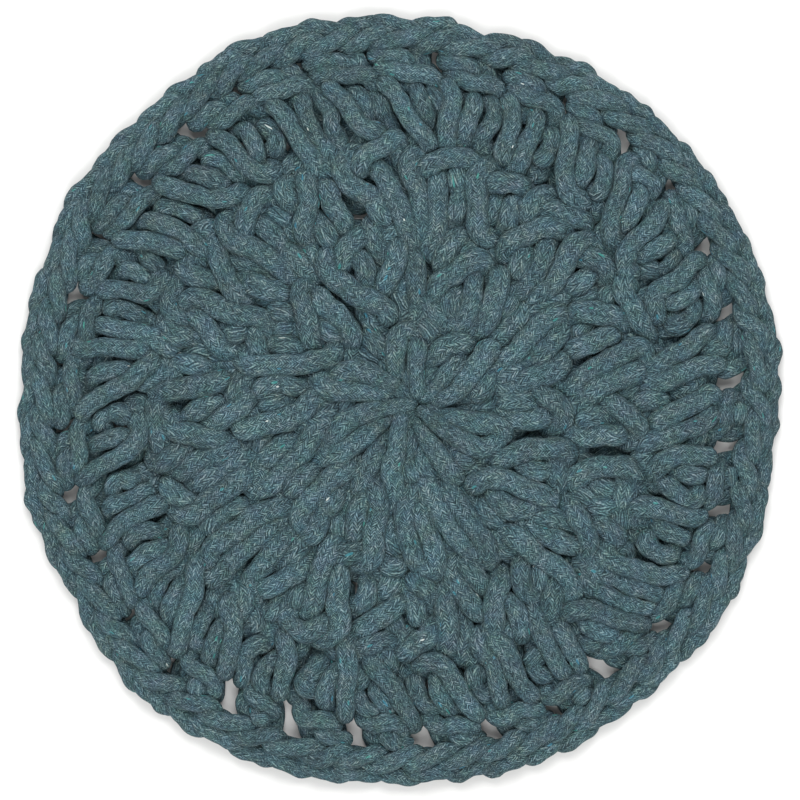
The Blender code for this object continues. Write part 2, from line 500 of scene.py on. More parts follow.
        # the first few bends: a ring drawn tight, which closes the middle
        for i in range(self.ring_bends):
            radius = self.ring_start + self.ring_growth * min(i / self.ring_opening, 1)
            rows.append((radius, starts[0] + self.ring_ahead - self.ring_step * i, self.ring_lift))
            piece.append(0)
        for at in range(len(self.rounds)):
            laid = self._lay_round(at, starts, rng)
            rows += laid
            piece += [at] * len(laid)
        pitch = FULL_TURN / self.edge_repeats
        for i in range(self.edge_repeats):
            shift = self.edge_shift * rng.normal()
            for turn in EDGE_REPEAT:
                along, radius = self.by_slit(i, turn.along, turn.radius)
                angle = self.first_slit - (i + along + shift) * pitch
                rows.append((radius + self.edge_stray * rng.normal(), angle, turn.lift))
                piece.append(len(self.rounds))
        table = np.array(rows)
        low = self.cord.radius * self.cord.flatness
        return Run(self.form.place(table[:, 0], table[:, 1], table[:, 2], low), np.array(piece))

    def _lay_round(
        self, at: int, starts: list[float], rng: np.random.Generator
    ) -> list[tuple[float, float, float]]:
        """Lay one round of tall stitches.

        Args:
            at: Number of the round, from the middle out.
            starts: Angle where each round begins.
            rng: Source of the work's unevenness.

        Returns:
            Radius, angle and lift of each bend.
        """
        this = self.rounds[at]
        height = this.outer - this.inner
        heads = starts[at] - (np.arange(this.stitches) - self.base) * this.pitch
        feet = heads if at == 0 else starts[at - 1] - self.links_below(at) * self.rounds[at - 1].pitch
        slid, grown, heaved, tilted = rng.normal(0, this.uneven, (this.stitches, 4)).T
        lie = rng.normal(0, self.heave * this.uneven, (this.stitches, self.stretches))
        calm = np.abs((heads - self.calm_at + 180) % FULL_TURN - 180) < self.calm_span
        crossed = rng.random(this.stitches) < this.crossed * np.where(calm, self.calm_share, 1.0)
        sink = rng.uniform(*this.sink, this.stitches)
        rows = []
        for i in range(this.stitches):
            turns = (CROSSED_POST if crossed[i] else POST) + this.link.value
            for number, turn in enumerate(turns):
                lift = turn.lift + self.heave * heaved[i] * (1 - turn.lift ** 2)
                lift += lie[i, number // self.stretch_bends]
                if turn.along > self.link_from and turn.lift > 0:
                    lift = min(lift, 1.0) - sink[i] * min(turn.lift, self.link_top) / self.link_top
                shift = self.slide * slid[i] + self.tilt * tilted[i] * (0.5 - turn.out)
                along, radius = self.by_slit(i, turn.along, this.inner + turn.out * height)
                angle = starts[at] - (i + along + shift) * this.pitch
                angle += (feet[i] - heads[i]) * (1 - ease(turn.out / self.foot_to))
                radius += turn.out * height * self.growth * grown[i]
                radius += self.stray_out * this.uneven * rng.normal()
                stray = self.stray_along * this.uneven * rng.normal()
                angle += math.degrees(stray / max(radius, self.stray_least))
                rows.append((max(radius, self.nearest), angle, lift))
        return rows


# ---------------------------------------------------------------- settling


@dataclass
class Settling:
    """Lets the laid cord find its place: it straightens, shortens and pushes itself apart.

    It does so where heights are stretched until the cord's flat section is a round one.
    """

    form: MatForm
    cord: Cord
    between: int = 8  # points of the smooth line from one bend to the next
    step: float = 2.2  # mm between points of the settled line
    passes: int = 160
    bend: float = 0.25  # how far a point moves towards its neighbours' middle
    shrink: float = 0.99  # share of the laid length that is kept
    search_reach: float = 2.1  # cord widths within which stretches may meet
    search_skip: float = 1.3  # cord widths along the cord that don't count
    search_rows: int = 512  # points that are looked at in one go
    push: float = 0.175  # share of an overlap by which each side gives way in a pass
    keep: float = 0.4  # share of a wrong length that each end puts right in one go
    hidden_gap: float = 0.72  # how near, in radii, hidden stretches may lie
    shown_gap: float = 0.96  # how near, in radii, stretches on the top may lie
    shown_from: float = 0.2  # lift from where a stretch begins to show on the top
    shown_span: float = 0.6  # and how much more lift it shows in full with
    hidden_hold: float = 0.012  # pull towards the laid place, hidden
    shown_hold: float = 0.07  # and what is added to it on the top
    hold_fade: float = 0.6  # share of the pull that is gone by the last pass
    above_top: float = 0.6  # mm that a stretch may rise over the top line
    crevice: float = 2.8  # mm by which hidden stretches have to stay lower than that
    refresh: int = 40  # passes between searches for neighbours
    spread_reach: float = 1.5  # how far soft pressure acts, in firm gaps
    spread: float = 0.025  # share of an overlap in it by which each side gives way
    spread_within: float = 80.0  # mm from the middle: the edge stays as it is worked
    pinch: float = 0.12  # share of its width that the cord loses where it dives
    cover_within: float = 85.0  # mm from the middle: no table is to show through the rounds
    cover_width: float = 0.95  # share of its width that the cord covers, on the top
    cover_spread: float = 0.15  # and what is added to it where it is hidden
    cover_from: int = 40  # passes before open places begin to be covered
    cover_reach: float = 3.0  # mm over which an open place draws hidden stretches
    cover_pull: float = 60.0  # how strongly it draws them
    cover_most: float = 0.60  # mm that it moves them in a pass, at most
    cover_shown: float = 0.1  # share of that by which it moves stretches on the top
    cover_cell: float = 0.6  # mm between the places that are looked at
    mend_from: int = 110  # passes before the nearest hidden stretch is drawn over
    mend_reach: int = 4  # points to each side that come with it
    mend_spare: float = 0.35  # mm that it is drawn over the far side of the open place
    mend_most: float = 3.0  # mm: it isn't drawn from further away
    mend_share: float = 0.5  # share of the way that it moves in a pass
    mend_hidden: float = 0.8  # how far hidden a stretch has to be to be taken first
    mend_detour: float = 4.0  # mm that a hidden stretch may be further away than a shown one

    def resample(self, run: Run) -> Run:
        """Run a smooth line through the bends and step evenly along it.

        Args:
            run: The cord's line, bend by bend, in mm.

        Returns:
            The line, step by step.
        """
        ends = run.points
        padded = np.vstack([2 * ends[0] - ends[1], ends, 2 * ends[-1] - ends[-2]])
        share = np.arange(self.between)[:, None] / self.between
        fine, piece = [], []
        for i in range(len(ends) - 1):
            a, b, c, d = padded[i:i + 4]
            fine.append(0.5 * (2 * b + (c - a) * share + (2 * a - 5 * b + 4 * c - d) * share ** 2
                               + (3 * b - a - 3 * c + d) * share ** 3))
            piece += [run.piece[i]] * len(share)
        line = np.vstack(fine + [ends[-1:]])
        piece.append(run.piece[-1])
        length = np.concatenate([[0], np.cumsum(np.linalg.norm(np.diff(line, axis=0), axis=1))])
        even = np.linspace(0, length[-1], int(length[-1] / self.step) + 1)
        points = np.stack([np.interp(even, length, line[:, axis]) for axis in range(3)], axis=-1)
        at = np.clip(np.searchsorted(length, even), 0, len(piece) - 1)
        return Run(points, np.array(piece)[at])

    def neighbours(self, points: Array) -> tuple[Array, Array]:
        """Find the points that are near each other but not along the cord.

        Args:
            points: Points of the line.

        Returns:
            For each pair, the number of its first point and of its second.
        """
        reach = self.cord.width * self.search_reach
        apart = math.ceil(self.cord.width * self.search_skip / self.step)
        single = points.astype(np.float32)
        first, second = [], []
        for start in range(0, len(points), self.search_rows):
            some = single[start:start + self.search_rows, None, :]
            gaps = ((some - single[None, :, :]) ** 2).sum(-1)
            i, j = np.nonzero(gaps < reach * reach)
            i += start
            ahead = j > i + apart
            first.append(i[ahead])
            second.append(j[ahead])
        return np.concatenate(first), np.concatenate(second)

    def settle(self, run: Run) -> tuple[Run, Array, Array]:
        """Settle the cord.

        Args:
            run: The cord's laid line, evenly stepped, in mm.

        Returns:
            The settled line, half the cord's width at each of its points, and how far each
            is hidden, from 0 to 1.
        """
        # heights are stretched so that the flat section of the cord becomes a round one
        squash = np.array([1.0, 1.0, 1 / self.cord.flatness])
        points = run.points * squash
        from_middle = np.hypot(*(run.points[:, :2] - self.form.off_centre).T)
        low = self.cord.radius * self.cord.flatness
        lift = (run.points[:, 2] - low) / (self.form.top_at(self._reach(run.points)) - low) * 2 - 1
        shown = np.clip((lift - self.shown_from) / self.shown_span, 0, 1)
        radius = self.cord.radius_at(from_middle)
        room = radius * (self.hidden_gap + (self.shown_gap - self.hidden_gap) * shown)
        hold = (self.hidden_hold + self.shown_hold * shown)[:, None]
        target = points.copy()
        rest = np.linalg.norm(np.diff(points, axis=0), axis=1) * self.shrink
        sunk = (1 - shown) * self.crevice
        wide = radius * (self.cover_width + self.cover_spread * (1 - shown))
        first, second = self.neighbours(points)
        for at in range(self.passes):
            points += (target - points) * hold * (1 - self.hold_fade * at / self.passes)
            points[1:-1] += ((points[2:] + points[:-2]) / 2 - points[1:-1]) * self.bend
            self._keep_lengths(points, rest)
            if at and at % self.refresh == 0:
                first, second = self.neighbours(points)
            # soft stretches spread sideways into the free space, away from the edge
            free = ease((self.spread_within - self._reach(points)) / self.cord.width + 1)
            self._push_apart(points, (first, second), room, self.spread, self.spread_reach, free, 2)
            self._push_apart(points, (first, second), room, self.push)
            if at >= self.cover_from:
                empty, plan = self._open_places(points, wide)
                self._cover(points, empty, plan, 1 - shown)
            if at >= self.mend_from:
                self._mend(points, empty, wide, 1 - shown)
            top = self.form.top_at(self._reach(points)) / self.cord.flatness
            points[:, 2] = np.clip(points[:, 2], radius, top + self.above_top - sunk)
        pinched = 1 - self.pinch * 4 * shown * (1 - shown)
        return Run(points / squash, run.piece), radius * pinched * self.cord.loft, 1 - shown

    @staticmethod
    def _reach(points: Array) -> Array:
        """Distance of each point from the origin, seen from above."""
        return np.hypot(points[:, 0], points[:, 1])

    def _keep_lengths(self, points: Array, rest: Array) -> None:
        """Bring the steps of the line back to their lengths, odd ones and even ones in turn.

        Args:
            points: Points of the line, which move.
            rest: Length that each step keeps to, in mm.
        """
        for _ in range(2):
            for parity in (0, 1):
                ahead = points[1 + parity::2]
                behind = points[parity:-1:2][:len(ahead)]
                gap = ahead - behind
                length = np.linalg.norm(gap, axis=1)
                wanted = rest[parity::2][:len(length)]
                fix = gap * ((length - wanted) / np.maximum(length, 1e-6) * self.keep)[:, None]
                behind += fix
                ahead -= fix

    @staticmethod
    def _push_apart(points: Array, pairs: tuple[Array, Array], room: Array, share: float,
                    reach: float = 1.0, free: Array | float = 1.0, axes: int = 3) -> None:
        """Push stretches of the cord apart that lie nearer than they have room for.

        Args:
            points: Points of the line, which move.
            pairs: Numbers of the points that may meet.
            room: Distance that each point keeps, to which the other's is added.
            share: Share of an overlap by which each side gives way.
            reach: How far the push acts, against the room.
            free: How free each point is to move, from 0 to 1.
            axes: 3, or 2 for a push that only goes sideways.
        """
        first, second = pairs
        gap = points[second] - points[first]
        length = np.sqrt((gap * gap).sum(1))
        wanted = (room[first] + room[second]) * reach
        close = length < wanted
        i, j = first[close], second[close]
        overlap = wanted[close] - length[close]
        fix = gap[close] * (overlap / np.maximum(length[close], 1e-3))[:, None]
        count = np.bincount(i, minlength=len(points)) + np.bincount(j, minlength=len(points))
        damping = np.where(count > 0, share / np.sqrt(np.maximum(count, 1)), 0) * free
        for axis in range(axes):
            total = np.bincount(j, fix[:, axis], len(points))
            total -= np.bincount(i, fix[:, axis], len(points))
            points[:, axis] += total * damping

    def _open_places(self, points: Array, wide: Array) -> tuple[Array, Array]:
        """Look for places within the rounds that nothing covers, seen from above.

        Args:
            points: Points of the line.
            wide: How far the cord covers the table to each side of them, in mm.

        Returns:
            A grid of cells that is true where the table shows, and each point's cell in it.
        """
        half = math.ceil((self.cover_within + 4) / self.cover_cell)
        plan = np.clip(np.rint(points[:, :2] / self.cover_cell).astype(int) + half, 0, 2 * half)
        covered = np.zeros((2 * half + 1, 2 * half + 1), bool)
        reach = math.ceil(wide.max() / self.cover_cell)
        for dx in range(-reach, reach + 1):
            for dy in range(-reach, reach + 1):
                near = plan[wide >= math.hypot(dx, dy) * self.cover_cell] + (dx, dy)
                near = np.clip(near, 0, 2 * half)
                covered[near[:, 0], near[:, 1]] = True
        cells = (np.arange(2 * half + 1) - half) * self.cover_cell
        inside = cells[:, None] ** 2 + cells[None, :] ** 2 < self.cover_within ** 2
        return inside & ~covered, plan

    def _cover(self, points: Array, empty: Array, plan: Array, hidden: Array) -> None:
        """Draw hidden stretches towards the places that nothing covers yet.

        Args:
            points: Points of the line, which move.
            empty: Cells of a grid that are true where the table shows.
            plan: Each point's cell in it.
            hidden: How far each point lies under other stretches, from 0 to 1.
        """
        rows, columns = np.fft.fftfreq(len(empty))[:, None], np.fft.rfftfreq(len(empty))[None, :]
        reach = self.cover_reach / self.cover_cell
        blur = np.exp(-2 * (np.pi * reach) ** 2 * (rows ** 2 + columns ** 2))
        draw = np.fft.irfft2(np.fft.rfft2(empty.astype(float)) * blur, empty.shape)
        for axis, slope in enumerate(np.gradient(draw, self.cover_cell)):
            move = slope[plan[:, 0], plan[:, 1]] * self.cover_pull
            move = np.clip(move, -self.cover_most, self.cover_most)
            points[:, axis] += move * (self.cover_shown + (1 - self.cover_shown) * hidden)

    def _mend(self, points: Array, empty: Array, wide: Array, hidden: Array) -> None:
        """Draw the nearest hidden stretch over each place that is still open.

        Args:
            points: Points of the line, which move.
            empty: Cells of a grid that are true where the table shows.
            wide: How far the cord covers the table to each side of the points, in mm.
            hidden: How far each point lies under other stretches, from 0 to 1.
        """
        near = np.arange(-self.mend_reach, self.mend_reach + 1)
        share = np.cos(near / (self.mend_reach + 1) * np.pi / 2) ** 2
        for cell in (np.argwhere(empty) - len(empty) // 2) * self.cover_cell:
            gap = cell - points[:, :2]
            length = np.hypot(gap[:, 0], gap[:, 1])
            at = np.argmin(length - wide + self.mend_detour * (hidden < self.mend_hidden))
            short = length[at] - wide[at] + self.mend_spare
            if 0 < short < self.mend_most:
                stretch = np.clip(at + near, 0, len(points) - 1)
                move = gap[at] / length[at] * short * self.mend_share
                points[stretch, :2] += move * share[:, None]


# ---------------------------------------------------------------- the skin


@dataclass
class TubeSkin:
    """Skins a stretch of the cord's line with a closed tube and maps it along and around."""

    cord: Cord
    sides: int = 12
    finer: int = 3  # rings for each point of the settled line
    spacing: float = 0.73  # mm between rings
    pressed_wide: float = 1.18  # how much wider the cord is where other stretches lie on it
    pressed_thin: float = 0.85  # and how much thinner
    lump: float = 0.060  # how far the soft cord swells and shrinks, as a share
    lump_length: float = 3.4  # mm over which it does
    lump_round: float = 0.15  # how evenly it does around the cord, from 0, not at all

    def refine(self, table: Array) -> Array:
        """Run a smooth curve along rows of numbers.

        Args:
            table: One row for each point of the settled line.

        Returns:
            The same columns, with several rows for each.
        """
        padded = np.vstack([2 * table[0] - table[1], table, 2 * table[-1] - table[-2]])
        rows = []
        for i in range(self.finer):
            t = i / self.finer
            weights = (
                (1 - t) ** 3,
                3 * t ** 3 - 6 * t ** 2 + 4,
                -3 * t ** 3 + 3 * t ** 2 + 3 * t + 1,
                t ** 3,
            )
            rows.append(sum(w * padded[k:len(padded) - 3 + k] for k, w in enumerate(weights)) / 6)
        return np.stack(rows, axis=1).reshape(-1, table.shape[1])

    @staticmethod
    def frames(line: Array) -> tuple[Array, Array]:
        """Carry two directions across the line along it, without twist.

        Args:
            line: Points of the line.

        Returns:
            The first direction at each point, and the second.
        """
        heading = np.gradient(line, axis=0)
        heading /= np.linalg.norm(heading, axis=1)[:, None]
        side = np.zeros_like(line)
        start = np.array([0.0, 0.0, 1.0]) - heading[0] * heading[0][2]
        side[0] = start / np.linalg.norm(start)
        for i in range(1, len(line)):
            carried = side[i - 1] - heading[i] * (side[i - 1] @ heading[i])
            side[i] = carried / np.linalg.norm(carried)
        return side, np.cross(heading, side)

    def rings(self, line: Array, radius: Array, hidden: Array, rng: np.random.Generator) -> Array:
        """Lay rings of points around the line, in the space where the cord's section is round.

        Args:
            line: Points of the line.
            radius: Half the cord's width at each.
            hidden: How far each lies under other stretches, from 0 to 1, which flattens it.
            rng: Source of the cord's unevenness.

        Returns:
            One ring of points for each point of the line.
        """
        side, across = self.frames(line)
        angle = np.linspace(0, 2 * np.pi, self.sides, endpoint=False)
        spoke = (side[:, None, :] * np.cos(angle)[None, :, None]
                 + across[:, None, :] * np.sin(angle)[None, :, None])
        pressed = np.array([self.pressed_wide, self.pressed_wide, self.pressed_thin])
        flattened = 1 + hidden[:, None] * (pressed - 1)
        size = radius[:, None] * (1 + self.lump * self._lumps(len(line), rng))
        return line[:, None, :] + spoke * size[..., None] * flattened[:, None, :]

    def _lumps(self, count: int, rng: np.random.Generator) -> Array:
        """Make smooth noise over the tube.

        Args:
            count: Number of rings.
            rng: Source of the noise.

        Returns:
            One row for each ring, with a spread of one in all.
        """
        noise = rng.normal(size=(count, self.sides))
        along = np.fft.fftfreq(count, self.spacing)[:, None]
        around = np.fft.rfftfreq(self.sides, 1 / self.sides)[None, :]
        smooth = np.exp(-2 * (along * self.lump_length) ** 2 - self.lump_round * around ** 2)
        made = np.fft.irfft2(np.fft.rfft2(noise) * smooth, noise.shape)
        return made / made.std()

    def mesh(self, name: str, rings: Array, along: Array) -> bpy.types.Mesh:
        """Make a closed tube from rings.

        Args:
            name: Name of the mesh.
            rings: Rings of points, in metres.
            along: Distance of each ring along the cord, in metres.

        Returns:
            The mesh, with its map of metres along and turns around.
        """
        count, sides = rings.shape[:2]
        row = np.arange(count - 1)[:, None] * sides
        here = np.arange(sides)[None, :]
        after = (here + 1) % sides
        walls = np.stack([row + here, row + after, row + sides + after, row + sides + here], -1)
        walls = walls.reshape(-1, 4)
        first_cap = np.arange(sides)[::-1]
        last_cap = (count - 1) * sides + np.arange(sides)
        loops = np.concatenate([walls.ravel(), first_cap, last_cap])
        sizes = np.concatenate([np.full(len(walls), 4), [sides, sides]])
        mesh = bpy.data.meshes.new(name)
        mesh.vertices.add(count * sides)
        mesh.vertices.foreach_set("co", rings.reshape(-1).astype(np.float32))
        mesh.loops.add(len(loops))
        mesh.loops.foreach_set("vertex_index", loops.astype(np.int32))
        mesh.polygons.add(len(sizes))
        starts = np.concatenate([[0], np.cumsum(sizes)[:-1]])
        mesh.polygons.foreach_set("loop_start", starts.astype(np.int32))
        mesh.update(calc_edges=True)
        around = np.stack([here, here + 1, here + 1, here], -1) / sides
        around = np.broadcast_to(around, (count - 1, sides, 4))
        lengths = np.stack([along[:-1], along[:-1], along[1:], along[1:]], -1)[:, None, :]
        lengths = np.broadcast_to(lengths, around.shape)
        walls_map = np.stack([lengths, around], -1).reshape(-1, 2)
        caps_map = np.concatenate([
            np.stack([np.full(sides, along[0]), first_cap / sides], -1),
            np.stack([np.full(sides, along[-1]), np.arange(sides) / sides], -1),
        ])
        layer = mesh.uv_layers.new(name=CORD_MAP)
        layer.data.foreach_set("uv", np.concatenate([walls_map, caps_map]).ravel().astype(np.float32))
        mesh.shade_smooth()
        mesh.validate()
        return mesh


# ---------------------------------------------------------------- the finish


@dataclass(frozen=True)
class HeatheredCotton:
    """Cotton, carded from mixed fibre, spun loosely and knitted into a tube.

    The eye gets a matt, soft cord with columns of small V-shaped stitches along it, pale
    fibres that follow the legs of each V, and a rare speck of another colour. The grooves
    between the legs carry painted shade, and the backs of the legs a painted highlight.
    """

    name: str = "heathered_cotton_knitted_tube"
    # tones from the painted shade in the grooves to the painted highlight on the backs of the
    # legs, with the fibre's own tones between, and where on the scale each is reached
    fibre_and_shade_tones: tuple[tuple[float, str], ...] = (
        (0.26, "#1B2B30"), (0.40, "#2B3F46"), (0.50, "#374D53"), (0.62, "#496166"),
        (0.78, "#6E8385"),
    )
    speck_blue: str = "#2F7FA0"
    speck_green: str = "#3FA08C"
    speck_white: str = "#DCE4DF"
    sheen_tint: str = "#496166"
    columns: float = 8.0  # columns of stitches around the cord
    course: float = 0.80  # mm from one stitch of a column to the next
    slope: float = 1.65  # courses that a leg climbs from the V's foot to its tip
    wander: float = 3.0  # mm, width of the places where the knitting is looser or tighter
    off_course: float = 1.3  # courses that stitches shift by between such places, at most
    off_column: float = 0.5  # and columns
    leg_from: float = 0.12  # where on an arch a leg begins
    leg_span: float = 0.80  # share of the arch that it takes
    leg_power: float = 0.6  # below 1, which makes the arch fuller
    strand: float = 0.30  # mm, width of a fibre bundle: coarser than real fibres, to show
    bundles: float = 1.9  # fibre bundles along a leg, for each column
    fuzz: float = 0.45  # mm, width of the tufts of loose fibre that blur the stitches
    relief: float = 0.22  # mm, height of the stitches
    fibre_relief: float = 0.5  # height of the fibre bundles, against the stitches
    leg_level: float = 0.55  # height on a leg that has the middle tone of the painted shade
    painted_groove_shade: float = 0.30  # painted shade and highlight: how much paler the backs of the legs are than the grooves
    draw_tone: float = 0.12  # how much one leg differs from the next
    fibre_tone: float = 0.95  # how much the fibre bundles differ
    fuzz_tone: float = 0.65  # and the loose fibres
    batch: float = 35.0  # mm of cord from one batch of fibre
    batch_range: tuple[float, float] = (0.3, 0.7)  # the noise's usual least and most
    batch_tone: tuple[float, float] = (0.86, 1.14)  # the darkest batch and the lightest
    mixing: float = 4.5  # mm, width of the greener, bluer and warmer places
    red_drift: float = 0.95  # how far red swings from place to place
    blue_drift: float = 0.70  # and blue
    girth: float = 17.0  # mm around the cord
    speck_length: float = 1.9  # mm along the cord in which there may be one speck
    speck_width: float = 0.9  # mm around it
    speck_size: float = 0.32  # half its width, as a share of those
    speck_rarity: float = 0.990  # share of such places without one
    speck_strength: float = 0.4  # how far it covers the cotton
    white_size: float = 0.22  # the same three for the white ones
    white_rarity: float = 0.9990
    white_strength: float = 0.5
    roughness: float = 0.92
    specular: float = 0.25
    sheen: float = 0.06  # a trace: the loose fibres are short
    sheen_roughness: float = 0.5
    glow: float = 0.35  # share of the light that spreads within the soft cord
    glow_reach: float = 1.2  # mm that it spreads

    def build(self) -> bpy.types.Material:
        """Make the material.

        Returns:
            The material, with its nodes.
        """
        material = bpy.data.materials.new(self.name)
        material.use_nodes = True
        tree = material.node_tree
        tree.nodes.clear()
        add = partial(add_node, tree)
        parts = add("SeparateXYZ", add("UVMap", uv_map=CORD_MAP))
        along, around = parts.outputs["X"], parts.outputs["Y"]
        place = add("TexCoord").outputs["Object"]
        columns, climb, relief = self._stitches(add, along, around, place)
        fibres = self._fibres(add, columns, climb)
        cotton = self._tone_fibre_and_shade(add, columns, climb, relief, fibres, place)
        cotton = self._mix(add, cotton, along, place)
        cotton = self._specks(add, cotton, along, around)
        height = add("Math", fibres, self.fibre_relief, relief, operation="MULTIPLY_ADD")
        bump = add("Bump", {"Strength": 1.0, "Distance": self.relief * MM, "Height": height})
        shader = add("BsdfPrincipled", {
            "Base Color": cotton, "Normal": bump, "Roughness": self.roughness,
            "Specular IOR Level": self.specular, "Sheen Weight": self.sheen,
            "Sheen Roughness": self.sheen_roughness, "Sheen Tint": linear(self.sheen_tint),
            "Subsurface Weight": self.glow, "Subsurface Radius": (1.0, 1.0, 1.0),
            "Subsurface Scale": self.glow_reach * MM,
        })
        add("OutputMaterial", shader)
        return material

    def _stitches(
        self, add: AddNode, along: Source, around: Source, place: Source
    ) -> tuple[Source, Source, Source]:
        """Knit the tube: each column is a row of Vs, which climb from its middle to both sides.

        Args:
            add: Adds a node to the material.
            along: Metres along the cord.
            around: Turns around it.
            place: Place on the mat, in metres.

        Returns:
            Columns around the cord, courses climbed along the legs, and the relief of the
            legs, from 0 to 1.
        """
        # looseness: the courses and columns wander a little
        wander = add("TexNoise", {"Vector": place, "Scale": 1 / (self.wander * MM), "Detail": 2.0})
        loose = add("SeparateColor", wander.outputs["Color"])
        off_course, off_column = (
            add("Math", loose.outputs[axis], span, -span / 2, operation="MULTIPLY_ADD")
            for axis, span in enumerate((self.off_course, self.off_column))
        )
        courses = add("Math", along, self.course * MM, operation="DIVIDE")
        courses = add("Math", courses, off_course, operation="ADD")
        columns = add("Math", around, self.columns, off_column, operation="MULTIPLY_ADD")
        in_column = add("Math", columns, operation="FRACT")
        to_side = add("Math", in_column, 2.0, -1.0, operation="MULTIPLY_ADD")
        from_middle = add("Math", to_side, operation="ABSOLUTE")
        climb = add("Math", from_middle, self.slope, courses, operation="MULTIPLY_ADD")
        # across a leg the relief is one arch, and along it another that is fuller
        ridge = add("Math", add("Math", climb, operation="FRACT"), math.pi, operation="MULTIPLY")
        ridge = add("Math", ridge, operation="SINE")
        arch = self.leg_span * math.pi, self.leg_from * math.pi
        leg_arch = add("Math", from_middle, *arch, operation="MULTIPLY_ADD")
        leg_arch = add("Math", leg_arch, operation="SINE")
        leg_arch = add("Math", leg_arch, self.leg_power, operation="POWER")
        return columns, climb, add("Math", ridge, leg_arch, operation="MULTIPLY")

    def _fibres(self, add: AddNode, columns: Source, climb: Source) -> Source:
        """Run fibres along the legs: noise squeezed across them and drawn out along them.

        Args:
            add: Adds a node to the material.
            columns: Columns around the cord.
            climb: Courses climbed along the legs.

        Returns:
            Light and dark bundles of fibre, from 0 to 1.
        """
        fibre_place = add(
            "CombineXYZ",
            add("Math", climb, self.course / self.strand / 2, operation="MULTIPLY"),
            add("Math", columns, self.bundles, operation="MULTIPLY"),
            add("Math", columns, operation="FLOOR"),
        )
        look = {"Vector": fibre_place, "Scale": 1.0, "Detail": 2.0, "Roughness": 0.6}
        return add("TexNoise", look)

    def _tone_fibre_and_shade(
        self, add: AddNode, columns: Source, climb: Source, relief: Source, fibres: Source,
        place: Source,
    ) -> Source:
        """Tone the mixed fibre, with painted shade deep in the grooves and a painted highlight
        along the backs of the legs.

        Args:
            add: Adds a node to the material.
            columns: Columns around the cord.
            climb: Courses climbed along the legs.
            relief: Relief of the legs, from 0 to 1, painted into the tone as shade and highlight.
            fibres: Bundles of fibre, from 0 to 1.
            place: Place on the mat, in metres.

        Returns:
            The cotton's colour.
        """
        fuzz = add("TexNoise", {"Vector": place, "Scale": 1 / (self.fuzz * MM), "Detail": 1.0})
        # every leg is drawn from a slightly different batch of the mixed fibre
        half_columns = add("Math", columns, 2.0, operation="MULTIPLY")
        leg_number = (add("Math", count, operation="FLOOR") for count in (climb, half_columns))
        leg = add("CombineXYZ", *leg_number)
        draw = add("TexWhiteNoise", {"Vector": leg}, noise_dimensions="2D")
        # the relief paints shade into the grooves and a highlight on the backs of the legs; the leg's
        # batch, the fibre bundles and the loose fibres are the cotton's own tone, which differs at
        # random
        causes = (
            (relief, self.leg_level, self.painted_groove_shade), (draw, 0.5, self.draw_tone),
            (fibres, 0.5, self.fibre_tone), (fuzz, 0.5, self.fuzz_tone),
        )
        tone = 0.5 - sum(level * weight for _, level, weight in causes)
        for cause, _, weight in causes:
            tone = add("Math", cause, weight, tone, operation="MULTIPLY_ADD")
        fibre_and_shade_tones = add("ValToRGB", tone)
        ramp = fibre_and_shade_tones.color_ramp
        for element, (position, colour) in zip(ramp.elements, (self.fibre_and_shade_tones[0], self.fibre_and_shade_tones[-1])):
            element.position, element.color = position, linear(colour)
        for position, colour in self.fibre_and_shade_tones[1:-1]:
            ramp.elements.new(position).color = linear(colour)
        return fibre_and_shade_tones

    def _mix(self, add: AddNode, cotton: Source, along: Source, place: Source) -> Source:
        """Let the cotton vary along the cord and from place to place.

        Args:
            add: Adds a node to the material.
            cotton: The cotton's colour so far.
            along: Metres along the cord.
            place: Place on the mat, in metres.

        Returns:
            The colour after it.
        """
        # batches of fibre: the cord is a touch lighter or darker over a few centimetres
        batches = add("TexNoise", {"W": along, "Scale": 1 / (self.batch * MM), "Detail": 2.0},
                      noise_dimensions="1D")
        batch = add("MapRange", batches, *self.batch_range, *self.batch_tone)
        cotton = add("VectorMath", cotton, batch, operation="MULTIPLY")
        # the mix is never even: here greener, there bluer or warmer, over a few millimetres
        mixing = add("TexNoise", {
            "Vector": place, "Scale": 1 / (self.mixing * MM), "Detail": 4.0, "Roughness": 0.75,
        })
        mixed = add("SeparateColor", mixing.outputs["Color"])
        red, blue = (
            add("Math", mixed.outputs[axis], drift, 1 - drift / 2, operation="MULTIPLY_ADD")
            for axis, drift in ((0, self.red_drift), (2, self.blue_drift))
        )
        return add("VectorMath", cotton, add("CombineXYZ", red, 1.0, blue), operation="MULTIPLY")

    def _specks(self, add: AddNode, cotton: Source, along: Source, around: Source) -> Source:
        """Add rare specks of other fibre, longer along the cord than across it.

        Args:
            add: Adds a node to the material.
            cotton: The cotton's colour so far.
            along: Metres along the cord.
            around: Turns around it.

        Returns:
            The colour after it.
        """
        speck_place = add(
            "CombineXYZ",
            add("Math", along, self.speck_length * MM, operation="DIVIDE"),
            add("Math", around, self.girth / self.speck_width, operation="MULTIPLY"),
        )
        specks = add("TexVoronoi", {"Vector": speck_place, "Scale": 1.0}, voronoi_dimensions="2D")
        lot = add("SeparateColor", specks.outputs["Color"])
        hue = add("Mix", {0: lot.outputs[2], 6: linear(self.speck_blue), 7: linear(self.speck_green)},
                  data_type="RGBA")
        coloured = self.speck_size, self.speck_rarity, self.speck_strength
        white = self.white_size, self.white_rarity, self.white_strength
        for chance, speck, (size, rarity, strength) in (
            (lot.outputs[0], hue.outputs[2], coloured),
            (lot.outputs[1], linear(self.speck_white), white),
        ):
            spot = add("Math", specks.outputs["Distance"], size, operation="LESS_THAN")
            chosen = add("Math", chance, rarity, operation="GREATER_THAN")
            cover = add("Math", spot, chosen, operation="MULTIPLY")
            cover = add("Math", cover, strength, operation="MULTIPLY")
            cotton = add("Mix", {0: cover, 6: cotton, 7: speck}, data_type="RGBA").outputs[2]
        return cotton


